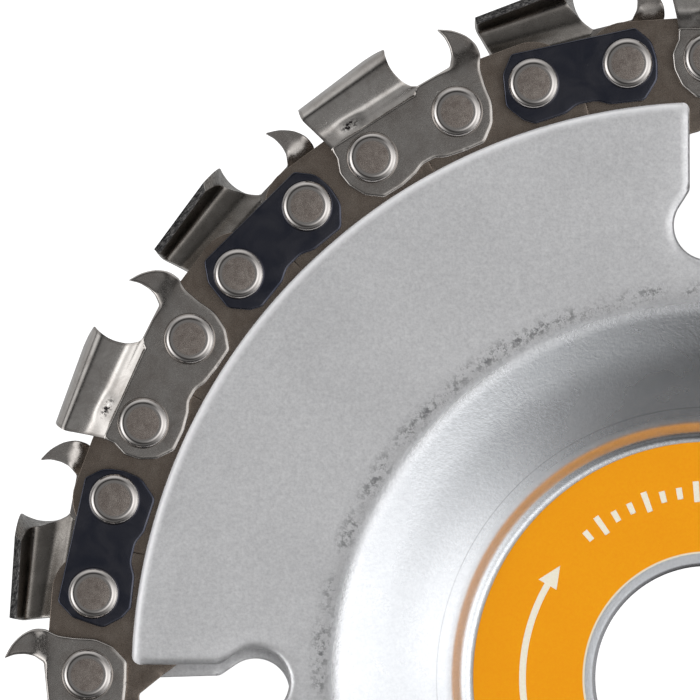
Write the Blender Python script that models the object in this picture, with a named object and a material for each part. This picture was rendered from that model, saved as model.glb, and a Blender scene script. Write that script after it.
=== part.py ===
"""Angle grinder carving disc: a ring of saw chain held between two dished steel plates.

The disc's axis is Z. The origin is on that axis, in the plane of the hub's back face, which
lies on the grinder's flange. +Z points out of the front, where the clamp nut goes on.
All sizes are in metres and all angles in degrees, counter-clockwise seen from the front.
Link outlines have X towards the leading end, Y away from the disc's axis, and Z to the front.
"""

import math

import bmesh
import bpy
from mathutils import Matrix, Vector

# Chain: 22 cutters on a ring of quarter-inch pitch chain.
CUTTERS = 22
RIVET_CIRCLE_RADIUS = 0.04445
SIDE_LINK_PITCH = 0.00686          # between the two rivets of a cutter or a tie strap
FIRST_LINK_ANGLE = 102.05
OPEN_LINKS = 4                     # links whose cutter, strap and rivets are separate objects
STEP_ANGLE = 360.0 / CUTTERS

DRIVE_LINK_THICKNESS = 0.0012
SIDE_LINK_THICKNESS = 0.00105
LINK_GAP = 0.0002                  # between a drive link and the side link or plate beside it
SIDE_LINK_INNER = DRIVE_LINK_THICKNESS / 2 + LINK_GAP
SIDE_LINK_OUTER = SIDE_LINK_INNER + SIDE_LINK_THICKNESS

# Rivets: a straight shank with a flat-topped head on each end.
RIVET_RADIUS = 0.0014
RIVET_HOLE_RADIUS = 0.0016
RIVET_HEAD_RADIUS = 0.00182
RIVET_HEAD_FLAT_RADIUS = 0.0013
RIVET_HEAD_GAP = 0.0001            # under the heads of a loose rivet
RIVET_HEAD_TOP = SIDE_LINK_OUTER + 0.0006
RIVET_BITE = 0.0001                # how far a fixed rivet's head sinks into its link
RIVET_SIDES = 8

# Plates: the front one is dished deeper, which opens the groove that holds the chain.
PLATE_THICKNESS = 0.0013
RIM_GROOVE = 0.0016
HUB_GAP = 0.0003
DISH_DEPTH = 0.0050
PLATE_RADIUS = 0.0414
BORE_RADIUS = 0.0080
PLATE_SEGMENTS = 60
FLOOR_RADIUS = 0.0170
STEP_RADIUS = 0.0183
CONE_INNER_RADIUS = 0.0190
CONE_OUTER_RADIUS = 0.0258
RIM_START_RADIUS = 0.0278
CONE_START_SHARE = 0.06            # how far up from the step to the rim the cone starts
CONE_END_SHARE = 0.93
EDGE_ROUND = 0.0004
MITRE_LIMIT = 0.5                  # smallest cosine that a mitred corner is worked out with

# Keyhole slots in the rims.
SLOTS = 4
SLOT_HALF_WIDTH = 0.0013
SLOT_NECK_RADIUS = 0.0350
SLOT_HOLE_RADIUS = 0.00245
SLOT_HOLE_CENTRE = 0.0325
SLOT_MOUTH_FLARE = 0.0006
FRONT_PLATE_TURN = 0.23
BACK_PLATE_TURN = 1.7              # the back plate sits turned a little against the front one

# Shapes that are taken away run past the piece on every side.
SLOT_TOOL_BOTTOM = -0.002
SLOT_TOOL_TOP = 0.012
SLOT_TOOL_OVERRUN = 0.002
HOLE_TOOL_HALF_LENGTH = 0.004

# Label ring on the floor of the front dish.
LABEL_INNER_RADIUS = 0.0090
LABEL_OUTER_RADIUS = 0.0168
LABEL_THICKNESS = 0.0002
LABEL_GAP = 0.0003

FLOOR_TOP = 2 * PLATE_THICKNESS + HUB_GAP
CHAIN_Z = FLOOR_TOP + DISH_DEPTH - PLATE_THICKNESS - RIM_GROOVE / 2

# Side view outlines, anticlockwise from the trailing foot.
STRAP_OUTLINE = [
    (-0.0038, -0.0028), (-0.0014, -0.0025), (0.0, -0.0021), (0.0014, -0.0025), (0.0040, -0.0028),
    (0.0053, -0.0013), (0.0055, 0.0005), (0.0051, 0.0015), (0.0044, 0.0024), (-0.0045, 0.0024),
    (-0.0052, 0.0014), (-0.0056, 0.0006), (-0.0057, -0.0013), (-0.0045, -0.0025),
]
CUTTER_OUTLINE = [
    (-0.0039, -0.0028), (-0.0014, -0.0025), (0.0, -0.0021), (0.0014, -0.0025), (0.0041, -0.0028),
    (0.0052, -0.0019), (0.0058, -0.0010), (0.0060, 0.0005), (0.0062, 0.0017), (0.0068, 0.0029),
    (0.0068, 0.0038), (0.0065, 0.0046), (0.0059, 0.0053), (0.0050, 0.0059), (0.0052, 0.0049),
    (0.0050, 0.0040), (0.0044, 0.0032), (0.0017, 0.0031), (-0.0058, 0.0020), (-0.0057, 0.0012),
    (-0.0059, 0.0), (-0.0058, -0.0010), (-0.0051, -0.0020),
]
# The tooth as (forward, outward, sideways) points: its trailing end, then its cutting end.
TOOTH_REAR = [
    (-0.0058, 0.0016, SIDE_LINK_OUTER), (-0.0061, 0.0029, 0.00245), (-0.0066, 0.0047, 0.00245),
    (-0.0065, 0.0054, 0.0021), (-0.0065, 0.0055, -0.0003), (-0.0065, 0.0049, -0.0003),
    (-0.0064, 0.0046, 0.0016), (-0.0061, 0.0029, 0.0016), (-0.0058, 0.0016, SIDE_LINK_INNER),
]
TOOTH_FRONT = [
    (0.0019, 0.0026, SIDE_LINK_OUTER), (0.0010, 0.0038, 0.00245), (0.0004, 0.0056, 0.00245),
    (0.0008, 0.0064, 0.0021), (-0.0009, 0.0064, -0.0003), (-0.0011, 0.0057, -0.0003),
    (-0.0001, 0.0055, 0.0016), (0.0006, 0.0038, 0.0016), (0.0017, 0.0026, SIDE_LINK_INNER),
]

DRIVE_END_RADIUS = 0.0031
DRIVE_END_STEPS = 4
DRIVE_END_SWEEP = 120.0            # from the flat top round each end
DRIVE_TANG = [(-0.0043, -0.0030), (-0.0026, -0.0055), (-0.0008, -0.0067), (0.0012, -0.0060),
              (0.0040, -0.0031)]

MERGE_DISTANCE = 1e-7              # points closer than this are one point
SHARP_ANGLE = 30.0                 # faces that meet more steeply than this are shaded apart

# Colour, roughness and metallic value of each material.
MATERIALS = {
    "zinc_plated_steel": ((0.47, 0.47, 0.48), 0.45, 0.9),
    "ground_chain_steel": ((0.16, 0.15, 0.14), 0.35, 0.9),
    "drive_link_steel": ((0.11, 0.09, 0.075), 0.4, 0.85),
    "blued_steel": ((0.02, 0.025, 0.045), 0.3, 0.8),
    "rivet_steel": ((0.24, 0.2, 0.175), 0.25, 1.0),
    "orange_label": ((0.85, 0.32, 0.02), 0.5, 0.0),
}


def clear_scene():
    """Take every object out of the scene."""
    for old in list(bpy.data.objects):
        bpy.data.objects.remove(old, do_unlink=True)


def make_material(name):
    """A Principled material with one colour, roughness and metallic value."""
    colour, roughness, metallic = MATERIALS[name]
    material = bpy.data.materials.new(name)
    material.use_nodes = True
    shader = material.node_tree.nodes["Principled BSDF"]
    shader.inputs["Base Color"].default_value = (*colour, 1.0)
    shader.inputs["Roughness"].default_value = roughness
    shader.inputs["Metallic"].default_value = metallic
    return material


def on_circle(radius, angle):
    """The point at an angle in degrees on a circle round the origin."""
    return Vector((radius * math.cos(math.radians(angle)), radius * math.sin(math.radians(angle)), 0.0))


def finish_mesh(bm, name):
    """Turn a bmesh into a mesh with its faces pointing out."""
    bmesh.ops.recalc_face_normals(bm, faces=bm.faces)
    mesh = bpy.data.meshes.new(name)
    bm.to_mesh(mesh)
    bm.free()
    return mesh


def extruded(outline, bottom, top, name):
    """A flat plate with the given outline between two heights."""
    bm = bmesh.new()
    face = bm.faces.new([bm.verts.new((x, y, bottom)) for x, y in outline])
    lifted = bmesh.ops.extrude_face_region(bm, geom=[face])
    moved = [item for item in lifted["geom"] if isinstance(item, bmesh.types.BMVert)]
    bmesh.ops.translate(bm, verts=moved, vec=(0.0, 0.0, top - bottom))
    return finish_mesh(bm, name)


def turned(profile, segments, name):
    """A ring or a solid of revolution: the (radius, height) profile spun round Z."""
    bm = bmesh.new()
    verts = [bm.verts.new((radius, 0.0, height)) for radius, height in profile]
    closed = all(radius > 0.0 for radius, _ in profile)
    pairs = list(zip(verts, verts[1:])) + ([(verts[-1], verts[0])] if closed else [])
    edges = [bm.edges.new(pair) for pair in pairs]
    bmesh.ops.spin(bm, geom=verts + edges, cent=(0, 0, 0), axis=(0, 0, 1),
                   angle=2 * math.pi, steps=segments, use_merge=True)
    bmesh.ops.remove_doubles(bm, verts=bm.verts, dist=MERGE_DISTANCE)
    return finish_mesh(bm, name)


def lofted(sections, name):
    """A solid that runs through sections which have the same number of points."""
    bm = bmesh.new()
    rings = [[bm.verts.new(point) for point in section] for section in sections]
    for ring, following in zip(rings, rings[1:]):
        for index, vert in enumerate(ring):
            after = (index + 1) % len(ring)
            bm.faces.new((vert, ring[after], following[after], following[index]))
    bm.faces.new(rings[0])
    bm.faces.new(rings[-1])
    bmesh.ops.triangulate(bm, faces=bm.faces)
    return finish_mesh(bm, name)


def combined(mesh, others, operation, name):
    """The mesh after a Boolean with each of the other meshes."""
    base = bpy.data.objects.new(name, mesh)
    bpy.context.collection.objects.link(base)
    helpers = []
    for other in others:
        helper = bpy.data.objects.new(name + "_helper", other)
        bpy.context.collection.objects.link(helper)
        modifier = base.modifiers.new("cut", "BOOLEAN")
        modifier.operation = operation
        modifier.object = helper
        helpers.append(helper)
    result = bpy.data.meshes.new_from_object(base.evaluated_get(bpy.context.evaluated_depsgraph_get()))
    result.name = name
    for used in [base, *helpers]:
        bpy.data.objects.remove(used, do_unlink=True)
    return result


def mirrored(mesh, name):
    """A copy of the mesh with its front and back swapped."""
    bm = bmesh.new()
    bm.from_mesh(mesh)
    bmesh.ops.transform(bm, matrix=Matrix.Scale(-1, 4, (0, 0, 1)), verts=bm.verts)
    return finish_mesh(bm, name)


def moved(mesh, x):
    """A copy of the mesh slid along X."""
    copy = mesh.copy()
    copy.transform(Matrix.Translation((x, 0.0, 0.0)))
    return copy


def place(name, mesh, material, matrix=None):
    """Put a mesh into the scene as a named object with a material."""
    part = bpy.data.objects.new(name, mesh)
    part.data.materials.clear()
    part.data.materials.append(material)
    part.data.shade_smooth()
    part.data.set_sharp_from_angle(angle=math.radians(SHARP_ANGLE))
    bpy.context.collection.objects.link(part)
    if matrix:
        part.matrix_world = matrix
    return part


def offset_profile(points, thickness):
    """Points at a fixed distance to the right of a polyline, with mitred corners."""
    result = []
    for index, (radius, height) in enumerate(points):
        before = Vector(points[max(index - 1, 0)])
        here = Vector((radius, height))
        after = Vector(points[min(index + 1, len(points) - 1)])
        incoming = (here - before if index else after - here).normalized()
        outgoing = (after - here if index < len(points) - 1 else incoming).normalized()
        middle = (incoming + outgoing).normalized()
        normal = Vector((middle.y, -middle.x))
        result.append(here + normal * thickness / max(middle.dot(incoming), MITRE_LIMIT))
    return [tuple(point) for point in result]


def plate_profile(floor_top, step_top, rim_top):
    """A dished plate's section, from the bore out along the top and back along the underside."""
    top = [(BORE_RADIUS, floor_top), (FLOOR_RADIUS, floor_top), (STEP_RADIUS, step_top),
           (CONE_INNER_RADIUS, step_top + (rim_top - step_top) * CONE_START_SHARE),
           (CONE_OUTER_RADIUS, step_top + (rim_top - step_top) * CONE_END_SHARE),
           (RIM_START_RADIUS, rim_top), (PLATE_RADIUS - EDGE_ROUND, rim_top)]
    if step_top == floor_top:
        top.pop(1)
    under = offset_profile(top, PLATE_THICKNESS)
    rim = [(PLATE_RADIUS, rim_top - EDGE_ROUND), (PLATE_RADIUS, rim_top - PLATE_THICKNESS + EDGE_ROUND)]
    return top + rim + under[::-1]


def keyhole(name):
    """A cutter for one slot that runs in from the rim along X to a round hole."""
    reach = PLATE_RADIUS + SLOT_TOOL_OVERRUN
    mouth = PLATE_RADIUS - SLOT_MOUTH_FLARE
    side = [(reach, SLOT_HALF_WIDTH + SLOT_MOUTH_FLARE), (PLATE_RADIUS, SLOT_HALF_WIDTH + SLOT_MOUTH_FLARE),
            (mouth, SLOT_HALF_WIDTH), (SLOT_NECK_RADIUS, SLOT_HALF_WIDTH)]
    for angle in (60, 90, 120, 150):
        side.append((SLOT_HOLE_CENTRE + SLOT_HOLE_RADIUS * math.cos(math.radians(angle)),
                     SLOT_HOLE_RADIUS * math.sin(math.radians(angle))))
    tip = [(SLOT_HOLE_CENTRE - SLOT_HOLE_RADIUS, 0.0)]
    other_side = [(x, -y) for x, y in reversed(side)]
    return extruded(side + tip + other_side, SLOT_TOOL_BOTTOM, SLOT_TOOL_TOP, name)


def make_plate(name, profile, turn, material):
    """One pressed plate with its keyhole slots."""
    slots = []
    for index in range(SLOTS):
        slot = keyhole(f"slot_{index}")
        slot.transform(Matrix.Rotation(math.radians(turn + index * 360.0 / SLOTS), 4, "Z"))
        slots.append(slot)
    disc = turned(profile, PLATE_SEGMENTS, name)
    return place(name, combined(disc, slots, "DIFFERENCE", name), material)


def drive_link_mesh():
    """Flat top, a round end about each rivet, and a tang that runs in the groove."""
    half_pitch = RIVET_CIRCLE_RADIUS * math.sin(math.radians(drive_angle() / 2))
    turn = DRIVE_END_SWEEP / DRIVE_END_STEPS
    arc = [on_circle(DRIVE_END_RADIUS, 90.0 - turn * step) for step in range(DRIVE_END_STEPS + 1)]
    leading = [(half_pitch + point.x, point.y) for point in arc]
    trailing = [(-x, y) for x, y in reversed(leading)]
    outline = DRIVE_TANG + leading[::-1] + trailing[::-1]
    body = extruded(outline, -DRIVE_LINK_THICKNESS / 2, DRIVE_LINK_THICKNESS / 2, "drive_link")
    return combined(body, rivet_holes(half_pitch), "DIFFERENCE", "drive_link")


def side_angle():
    """The angle at the disc's axis between the two rivets of a side link."""
    return math.degrees(2 * math.asin(SIDE_LINK_PITCH / 2 / RIVET_CIRCLE_RADIUS))


def drive_angle():
    """The angle at the disc's axis between the two rivets of a drive link."""
    return STEP_ANGLE - side_angle()


def rivet_holes(half_pitch):
    """Two cutters for the rivet holes of any link."""
    circle = [on_circle(RIVET_HOLE_RADIUS, index * 360.0 / RIVET_SIDES) for index in range(RIVET_SIDES)]
    outline = [(point.x, point.y) for point in circle]
    hole = extruded(outline, -HOLE_TOOL_HALF_LENGTH, HOLE_TOOL_HALF_LENGTH, "rivet_hole")
    return [moved(hole, -half_pitch), moved(hole, half_pitch)]


def rivet_mesh(head_bottom):
    """A rivet with both heads starting at the given distance from the chain's middle."""
    upper = [(0.0, RIVET_HEAD_TOP), (RIVET_HEAD_FLAT_RADIUS, RIVET_HEAD_TOP),
             (RIVET_HEAD_RADIUS, head_bottom), (RIVET_RADIUS, head_bottom)]
    lower = [(radius, -height) for radius, height in reversed(upper)]
    return turned(upper + lower, RIVET_SIDES, "rivet")


def cutter_mesh():
    """A right-hand cutter: side link, tooth with a bent-over top, and depth gauge."""
    base = extruded(CUTTER_OUTLINE, SIDE_LINK_INNER, SIDE_LINK_OUTER, "cutter")
    tooth = lofted([TOOTH_REAR, TOOTH_FRONT], "tooth")
    return combined(base, [tooth], "UNION", "cutter")


def strap_mesh():
    """The plain side link opposite a right-hand cutter."""
    return extruded(STRAP_OUTLINE, -SIDE_LINK_OUTER, -SIDE_LINK_INNER, "tie_strap")


def link_matrix(angle, pitch_angle):
    """The place of a link whose middle is at the given angle round the disc."""
    radius = RIVET_CIRCLE_RADIUS * math.cos(math.radians(pitch_angle / 2))
    middle = on_circle(radius, angle) + Vector((0.0, 0.0, CHAIN_Z))
    return Matrix.Translation(middle) @ Matrix.Rotation(math.radians(angle - 90.0), 4, "Z")


def make_chain(materials):
    """All the links: every second side link has its cutter at the front."""
    half_pitch = SIDE_LINK_PITCH / 2
    cutter = cutter_mesh()
    strap = strap_mesh()
    fixed_rivet = rivet_mesh(SIDE_LINK_OUTER - RIVET_BITE)
    riveted = [strap, moved(fixed_rivet, -half_pitch), moved(fixed_rivet, half_pitch)]
    link = combined(cutter, riveted, "UNION", "cutter_link")
    drilled_cutter = combined(cutter, rivet_holes(half_pitch), "DIFFERENCE", "cutter")
    drilled_strap = combined(strap, rivet_holes(half_pitch), "DIFFERENCE", "tie_strap")
    right = {"link": link, "cutter": drilled_cutter, "strap": drilled_strap}
    left = {kind: mirrored(mesh, "left_" + mesh.name) for kind, mesh in right.items()}
    loose_rivet = rivet_mesh(SIDE_LINK_OUTER + RIVET_HEAD_GAP)
    drive_link = drive_link_mesh()
    for index in range(CUTTERS):
        number = index + 1
        angle = FIRST_LINK_ANGLE + index * STEP_ANGLE
        side, meshes = ("right", right) if index % 2 else ("left", left)
        matrix = link_matrix(angle, side_angle())
        if index < OPEN_LINKS:
            place(f"{side}_cutter_{number:02d}", meshes["cutter"], materials["ground_chain_steel"], matrix)
            place(f"tie_strap_{number:02d}", meshes["strap"], materials["blued_steel"], matrix)
            for end, offset in (("trailing", -half_pitch), ("leading", half_pitch)):
                place(f"{end}_rivet_{number:02d}", loose_rivet, materials["rivet_steel"],
                      matrix @ Matrix.Translation((offset, 0.0, 0.0)))
        else:
            place(f"{side}_cutter_link_{number:02d}", meshes["link"], materials["ground_chain_steel"], matrix)
        place(f"drive_link_{number:02d}", drive_link, materials["drive_link_steel"],
              link_matrix(angle + STEP_ANGLE / 2, drive_angle()))


def make_label(material):
    """The printed ring round the bore."""
    bottom = FLOOR_TOP + LABEL_GAP
    top = bottom + LABEL_THICKNESS
    profile = [(LABEL_INNER_RADIUS, top), (LABEL_OUTER_RADIUS, top),
               (LABEL_OUTER_RADIUS, bottom), (LABEL_INNER_RADIUS, bottom)]
    place("label_ring", turned(profile, PLATE_SEGMENTS, "label_ring"), material)


def main():
    """Build the whole disc."""
    clear_scene()
    materials = {name: make_material(name) for name in MATERIALS}
    back_rim = CHAIN_Z - RIM_GROOVE / 2
    front_step = PLATE_THICKNESS + RIM_GROOVE + PLATE_THICKNESS
    make_plate("back_plate", plate_profile(PLATE_THICKNESS, PLATE_THICKNESS, back_rim),
               BACK_PLATE_TURN, materials["zinc_plated_steel"])
    make_plate("front_plate", plate_profile(FLOOR_TOP, front_step, FLOOR_TOP + DISH_DEPTH),
               FRONT_PLATE_TURN, materials["zinc_plated_steel"])
    make_label(materials["orange_label"])
    make_chain(materials)


main()
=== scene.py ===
"""Looks of the angle grinder carving disc: a ring of saw chain between two dished steel plates.

Shapes are drawn in millimetres and scaled to metres when their mesh is made. A link is drawn in
its own frame: X towards the leading end, Y away from the disc's axis, Z towards the disc's
front, with the origin midway between its two rivets.
"""
import math

import bmesh
import bpy
import numpy as np
from mathutils import Matrix, Vector
from mathutils.geometry import delaunay_2d_cdt


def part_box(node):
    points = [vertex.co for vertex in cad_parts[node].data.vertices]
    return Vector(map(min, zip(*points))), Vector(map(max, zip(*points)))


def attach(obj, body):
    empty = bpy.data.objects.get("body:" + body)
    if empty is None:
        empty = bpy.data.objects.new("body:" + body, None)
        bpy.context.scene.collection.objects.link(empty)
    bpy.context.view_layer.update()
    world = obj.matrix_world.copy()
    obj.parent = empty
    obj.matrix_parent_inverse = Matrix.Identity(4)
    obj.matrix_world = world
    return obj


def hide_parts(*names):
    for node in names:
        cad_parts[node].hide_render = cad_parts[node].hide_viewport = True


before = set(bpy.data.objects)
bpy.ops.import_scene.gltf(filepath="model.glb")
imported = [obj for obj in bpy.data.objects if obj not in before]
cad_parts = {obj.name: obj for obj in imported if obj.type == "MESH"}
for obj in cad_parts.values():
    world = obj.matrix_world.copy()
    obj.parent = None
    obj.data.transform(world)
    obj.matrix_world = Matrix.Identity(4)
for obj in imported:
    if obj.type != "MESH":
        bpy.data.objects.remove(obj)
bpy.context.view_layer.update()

MM = 0.001
CHAIN = "chain_ring"
FRONT = "front_plate_body"
BACK = "back_plate_body"


def middle(node):
    """The centre of a CAD node's box, in metres."""
    low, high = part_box(node)
    return (low + high) / 2


# Sizes that the frame gives, in millimetres and degrees.
LEADING = middle("leading_rivet_01") / MM
TRAILING = middle("trailing_rivet_01") / MM
CHAIN_Z = LEADING.z
RIVET_CIRCLE = LEADING.xy.length
SIDE_PITCH = (LEADING - TRAILING).length
LINKS = sum(name.startswith("drive_link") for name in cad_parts)
OPEN_LINKS = sum(name.startswith("tie_strap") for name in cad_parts)
STEP_ANGLE = 360.0 / LINKS
FIRST_ANGLE = math.degrees(math.atan2(LEADING.y + TRAILING.y, LEADING.x + TRAILING.x))
PLATE_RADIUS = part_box("front_plate")[1].x / MM
RIM_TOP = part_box("front_plate")[1].z / MM
BACK_RIM_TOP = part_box("back_plate")[1].z / MM
FRONT_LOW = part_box("front_plate")[0].z / MM
LABEL_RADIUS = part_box("label_ring")[1].x / MM
DRIVE_HALF = (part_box("drive_link_01")[1].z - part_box("drive_link_01")[0].z) / MM / 2
LINK_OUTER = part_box("tie_strap_01")[1].z / MM - CHAIN_Z

# Sizes of the finished pieces, in millimetres and degrees.
PLATE_THICKNESS = 1.3
PLATE_ROLL = (0.75, 0.45)
PLATE_BURR = (0.15, 0.15)
FLOOR_TOP = FRONT_LOW + PLATE_THICKNESS
BORE_RADIUS = 8.05
SLOT_HALF_WIDTH = 1.3
SLOT_NECK = 35.0
SLOT_HOLE_RADIUS = 2.45
SLOT_HOLE_CENTRE = 32.5
FRONT_PLATE_TURN = 0.23
BACK_PLATE_TURN = 1.7
LABEL_INNER = 9.0
LABEL_THICKNESS = 0.12
SIDE_LINK_INSIDE = 0.66
LABEL_SHIFT = 0.15
LABEL_SPREAD = 0.2
RIVET_HEAD = 1.85
RIVET_FACE = 1.24
RIVET_HEIGHT = 0.56


# ---------------------------------------------------------------- outlines

def spot(radius, angle):
    """A point at a radius and an angle in degrees round the origin."""
    return (radius * math.cos(math.radians(angle)), radius * math.sin(math.radians(angle)))


# A corner's arc takes up to this share of each side, and a corner is straight past this half angle.
SIDE_SHARE = 0.49
STRAIGHT = 89.5


def rounded(corners, closed=True, step=10.0):
    """Points through (x, y, radius) corners, each corner turned by an arc of its radius."""
    points = []
    for index, (x, y, radius) in enumerate(corners):
        here = np.array((x, y), float)
        if radius == 0 or (not closed and index in (0, len(corners) - 1)):
            points.append(here)
            continue
        back = np.array(corners[index - 1][:2], float) - here
        ahead = np.array(corners[(index + 1) % len(corners)][:2], float) - here
        room = SIDE_SHARE * min(np.linalg.norm(back), np.linalg.norm(ahead))
        back /= np.linalg.norm(back)
        ahead /= np.linalg.norm(ahead)
        half = math.acos(np.clip(back @ ahead, -1, 1)) / 2
        if half > math.radians(STRAIGHT):
            points.append(here)
            continue
        reach = min(radius / math.tan(half), room)
        radius = reach * math.tan(half)
        centre = here + (back + ahead) / np.linalg.norm(back + ahead) * radius / math.sin(half)
        first, last = here + back * reach - centre, here + ahead * reach - centre
        start = math.atan2(first[1], first[0])
        turn = (math.atan2(last[1], last[0]) - start + math.pi) % (2 * math.pi) - math.pi
        count = max(2, math.ceil(abs(math.degrees(turn)) / step))
        for part in range(count + 1):
            angle = start + turn * part / count
            points.append(centre + radius * np.array((math.cos(angle), math.sin(angle))))
    return np.array(points)


# Sides shorter than this share of the spacing are dropped.
SHORT_SIDE = 0.02


def subdivided(loop, spacing):
    """The closed loop with points added so that no side is longer than the spacing."""
    result = []
    for start, end in zip(loop, np.roll(loop, -1, axis=0)):
        length = np.linalg.norm(end - start)
        if length < spacing * SHORT_SIDE:
            continue
        count = math.ceil(length / spacing)
        result.extend(start + (end - start) * part / count for part in range(count))
    return np.array(result)


def circle(radius, centre=(0.0, 0.0), count=48, clockwise=False):
    """Points round a circle."""
    angles = np.arange(count) * (2 * math.pi / count) * (-1 if clockwise else 1)
    return np.stack((centre[0] + radius * np.cos(angles), centre[1] + radius * np.sin(angles)), axis=1)


# Points are measured against the loops in groups of this many, to save memory.
GROUP = 1000


def depth_inside(points, loops):
    """How far each point is from the nearest loop."""
    nearest = np.full(len(points), np.inf)
    starts = np.concatenate(loops)
    sides = np.concatenate([np.roll(loop, -1, axis=0) - loop for loop in loops])
    lengths = (sides ** 2).sum(axis=1)
    for first in range(0, len(points), GROUP):
        offset = points[first:first + GROUP, None, :] - starts[None]
        along = np.clip((offset * sides).sum(axis=2) / lengths, 0, 1)
        gap = offset - along[..., None] * sides
        nearest[first:first + GROUP] = np.sqrt((gap ** 2).sum(axis=2).min(axis=1))
    return nearest


def is_inside(points, loops):
    """Whether each point is inside an odd number of loops."""
    crossings = np.zeros(len(points), int)
    for loop in loops:
        start, end = loop, np.roll(loop, -1, axis=0)
        for first in range(0, len(points), GROUP):
            x, y = points[first:first + GROUP, :1], points[first:first + GROUP, 1:]
            spans = (start[:, 1] > y) != (end[:, 1] > y)
            rise = np.where(end[:, 1] == start[:, 1], 1.0, end[:, 1] - start[:, 1])
            reach = start[:, 0] + (y - start[:, 1]) / rise * (end[:, 0] - start[:, 0])
            crossings[first:first + GROUP] += (spans & (x < reach)).sum(axis=1)
    return crossings % 2 == 1


def inset(loop, depth):
    """The loop's points moved into the material, which lies to the left of the loop."""
    sides = np.roll(loop, -1, axis=0) - loop
    normals = np.stack((-sides[:, 1], sides[:, 0]), axis=1)
    normals /= np.linalg.norm(normals, axis=1, keepdims=True)
    normals = normals + np.roll(normals, 1, axis=0)
    normals /= np.maximum(np.linalg.norm(normals, axis=1, keepdims=True), 1e-9)
    return loop + normals * depth


# ---------------------------------------------------------------- meshes

SHARP_ANGLE = 38.0


def new_mesh(name, points, faces, attributes=None):
    """A smooth mesh from points in millimetres, sharp where its faces meet steeply."""
    mesh = bpy.data.meshes.new(name)
    mesh.from_pydata((np.asarray(points) * MM).tolist(), [], faces)
    for key, values in (attributes or {}).items():
        mesh.attributes.new(key, "FLOAT", "POINT").data.foreach_set("value", np.asarray(values, np.float32))
    bm = bmesh.new()
    bm.from_mesh(mesh)
    bmesh.ops.recalc_face_normals(bm, faces=bm.faces)
    bm.to_mesh(mesh)
    bm.free()
    mesh.shade_smooth()
    mesh.set_sharp_from_angle(angle=math.radians(SHARP_ANGLE))
    return mesh


ROLL_STEPS = 4


def roll_drop(depth, roll):
    """How far a rolled edge has dropped at a depth inside the outline."""
    width, height = roll
    share = np.clip(1 - depth / width, 0, 1)
    return height * (1 - np.sqrt(1 - share ** 2))


# How much of its depth a ring of points keeps from the outline, and how much of the spacing the
# points of a ring keep between them and the inner points keep from the last ring.
RING_CLEAR = 0.97
RING_APART = 0.25
INNER_CLEAR = 0.6
SAME_POINT = 1e-6


def sheet(name, loops, top, bottom, top_roll, bottom_roll, spacing, inner_points, roll_share=None):
    """A pressed sheet: flat or shaped top and bottom surfaces joined round the loops, with rolled edges.

    top and bottom give the height at an array of points, or are plain heights. roll_share gives
    how much of the roll each point has.
    """
    loops = [subdivided(loop, spacing) for loop in loops]
    groups = list(loops)
    widest = max(top_roll[0], bottom_roll[0])
    for part in range(1, ROLL_STEPS + 1):
        depth = widest * (1 - math.cos(math.pi / 2 * part / ROLL_STEPS))
        ring = np.concatenate([inset(loop, depth) for loop in loops])
        clear = depth_inside(ring, loops) > depth * RING_CLEAR
        ring = ring[clear & is_inside(ring, loops)]
        spread = np.linalg.norm(ring - np.roll(ring, 1, axis=0), axis=1) > spacing * RING_APART
        groups.append(ring[spread])
    clear = depth_inside(inner_points, loops) > widest + spacing * INNER_CLEAR
    groups.append(inner_points[clear & is_inside(inner_points, loops)])
    edges, offset = [], 0
    for loop in loops:
        edges += [(offset + i, offset + (i + 1) % len(loop)) for i in range(len(loop))]
        offset += len(loop)
    coords = [Vector(point) for point in np.concatenate(groups)]
    verts, _, faces, *_ = delaunay_2d_cdt(coords, edges, [], 0, SAME_POINT)
    flat = np.array([tuple(vert) for vert in verts])
    faces = np.array(faces)
    faces = faces[is_inside(flat[faces].mean(axis=1), loops)]
    used, faces = np.unique(faces, return_inverse=True)
    faces = faces.reshape(-1, 3)
    flat = flat[used]
    depth = depth_inside(flat, loops)
    share = roll_share(flat) if roll_share else 1.0
    top_z = (top(flat) if callable(top) else top) - share * roll_drop(depth, top_roll)
    bottom_z = (bottom(flat) if callable(bottom) else bottom) + share * roll_drop(depth, bottom_roll)
    sides = {(int(face[i]), int(face[(i + 1) % 3])) for face in faces for i in range(3)}
    rim = [side for side in sides if side[::-1] not in sides]
    count = len(flat)
    points = np.concatenate([np.column_stack((flat, top_z)), np.column_stack((flat, bottom_z))])
    solid = faces.tolist() + (faces[:, ::-1] + count).tolist()
    solid += [(b, a, a + count, b + count) for a, b in sorted(rim)]
    return new_mesh(name, points, solid, {"edge": np.concatenate([depth, depth])})


def grid_points(loop, spacing):
    """A staggered grid of points over a loop's box."""
    low, high = loop.min(axis=0), loop.max(axis=0)
    rows = np.arange(low[1], high[1], spacing)
    points = [(x, y) for row, y in enumerate(rows)
              for x in np.arange(low[0] + spacing / 2 * (row % 2), high[0], spacing)]
    return np.array(points)


def polar_points(radii, count):
    """Points on circles round the disc's axis."""
    angles = np.arange(count) * 2 * math.pi / count
    radius, angle = np.meshgrid(radii, angles)
    return np.stack((radius.ravel() * np.cos(angle.ravel()), radius.ravel() * np.sin(angle.ravel())), axis=1)


def turned(name, profile, count):
    """A solid of revolution about Z from a (radius, height) profile, closed where the radius is 0."""
    points, rings = [], []
    for radius, height in profile:
        if radius == 0:
            rings.append([len(points)] * count)
            points.append((0.0, 0.0, height))
            continue
        rings.append(list(range(len(points), len(points) + count)))
        turns = [2 * math.pi * i / count for i in range(count)]
        points += [(radius * math.cos(turn), radius * math.sin(turn), height) for turn in turns]
    if profile[0][0] > 0:
        rings.append(rings[0])
    faces = []
    for lower, upper in zip(rings, rings[1:]):
        for i in range(count):
            j = (i + 1) % count
            corners = list(dict.fromkeys((lower[i], lower[j], upper[j], upper[i])))
            faces.append(corners)
    return new_mesh(name, points, faces)


CURVE_STEP = 0.05


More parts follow.
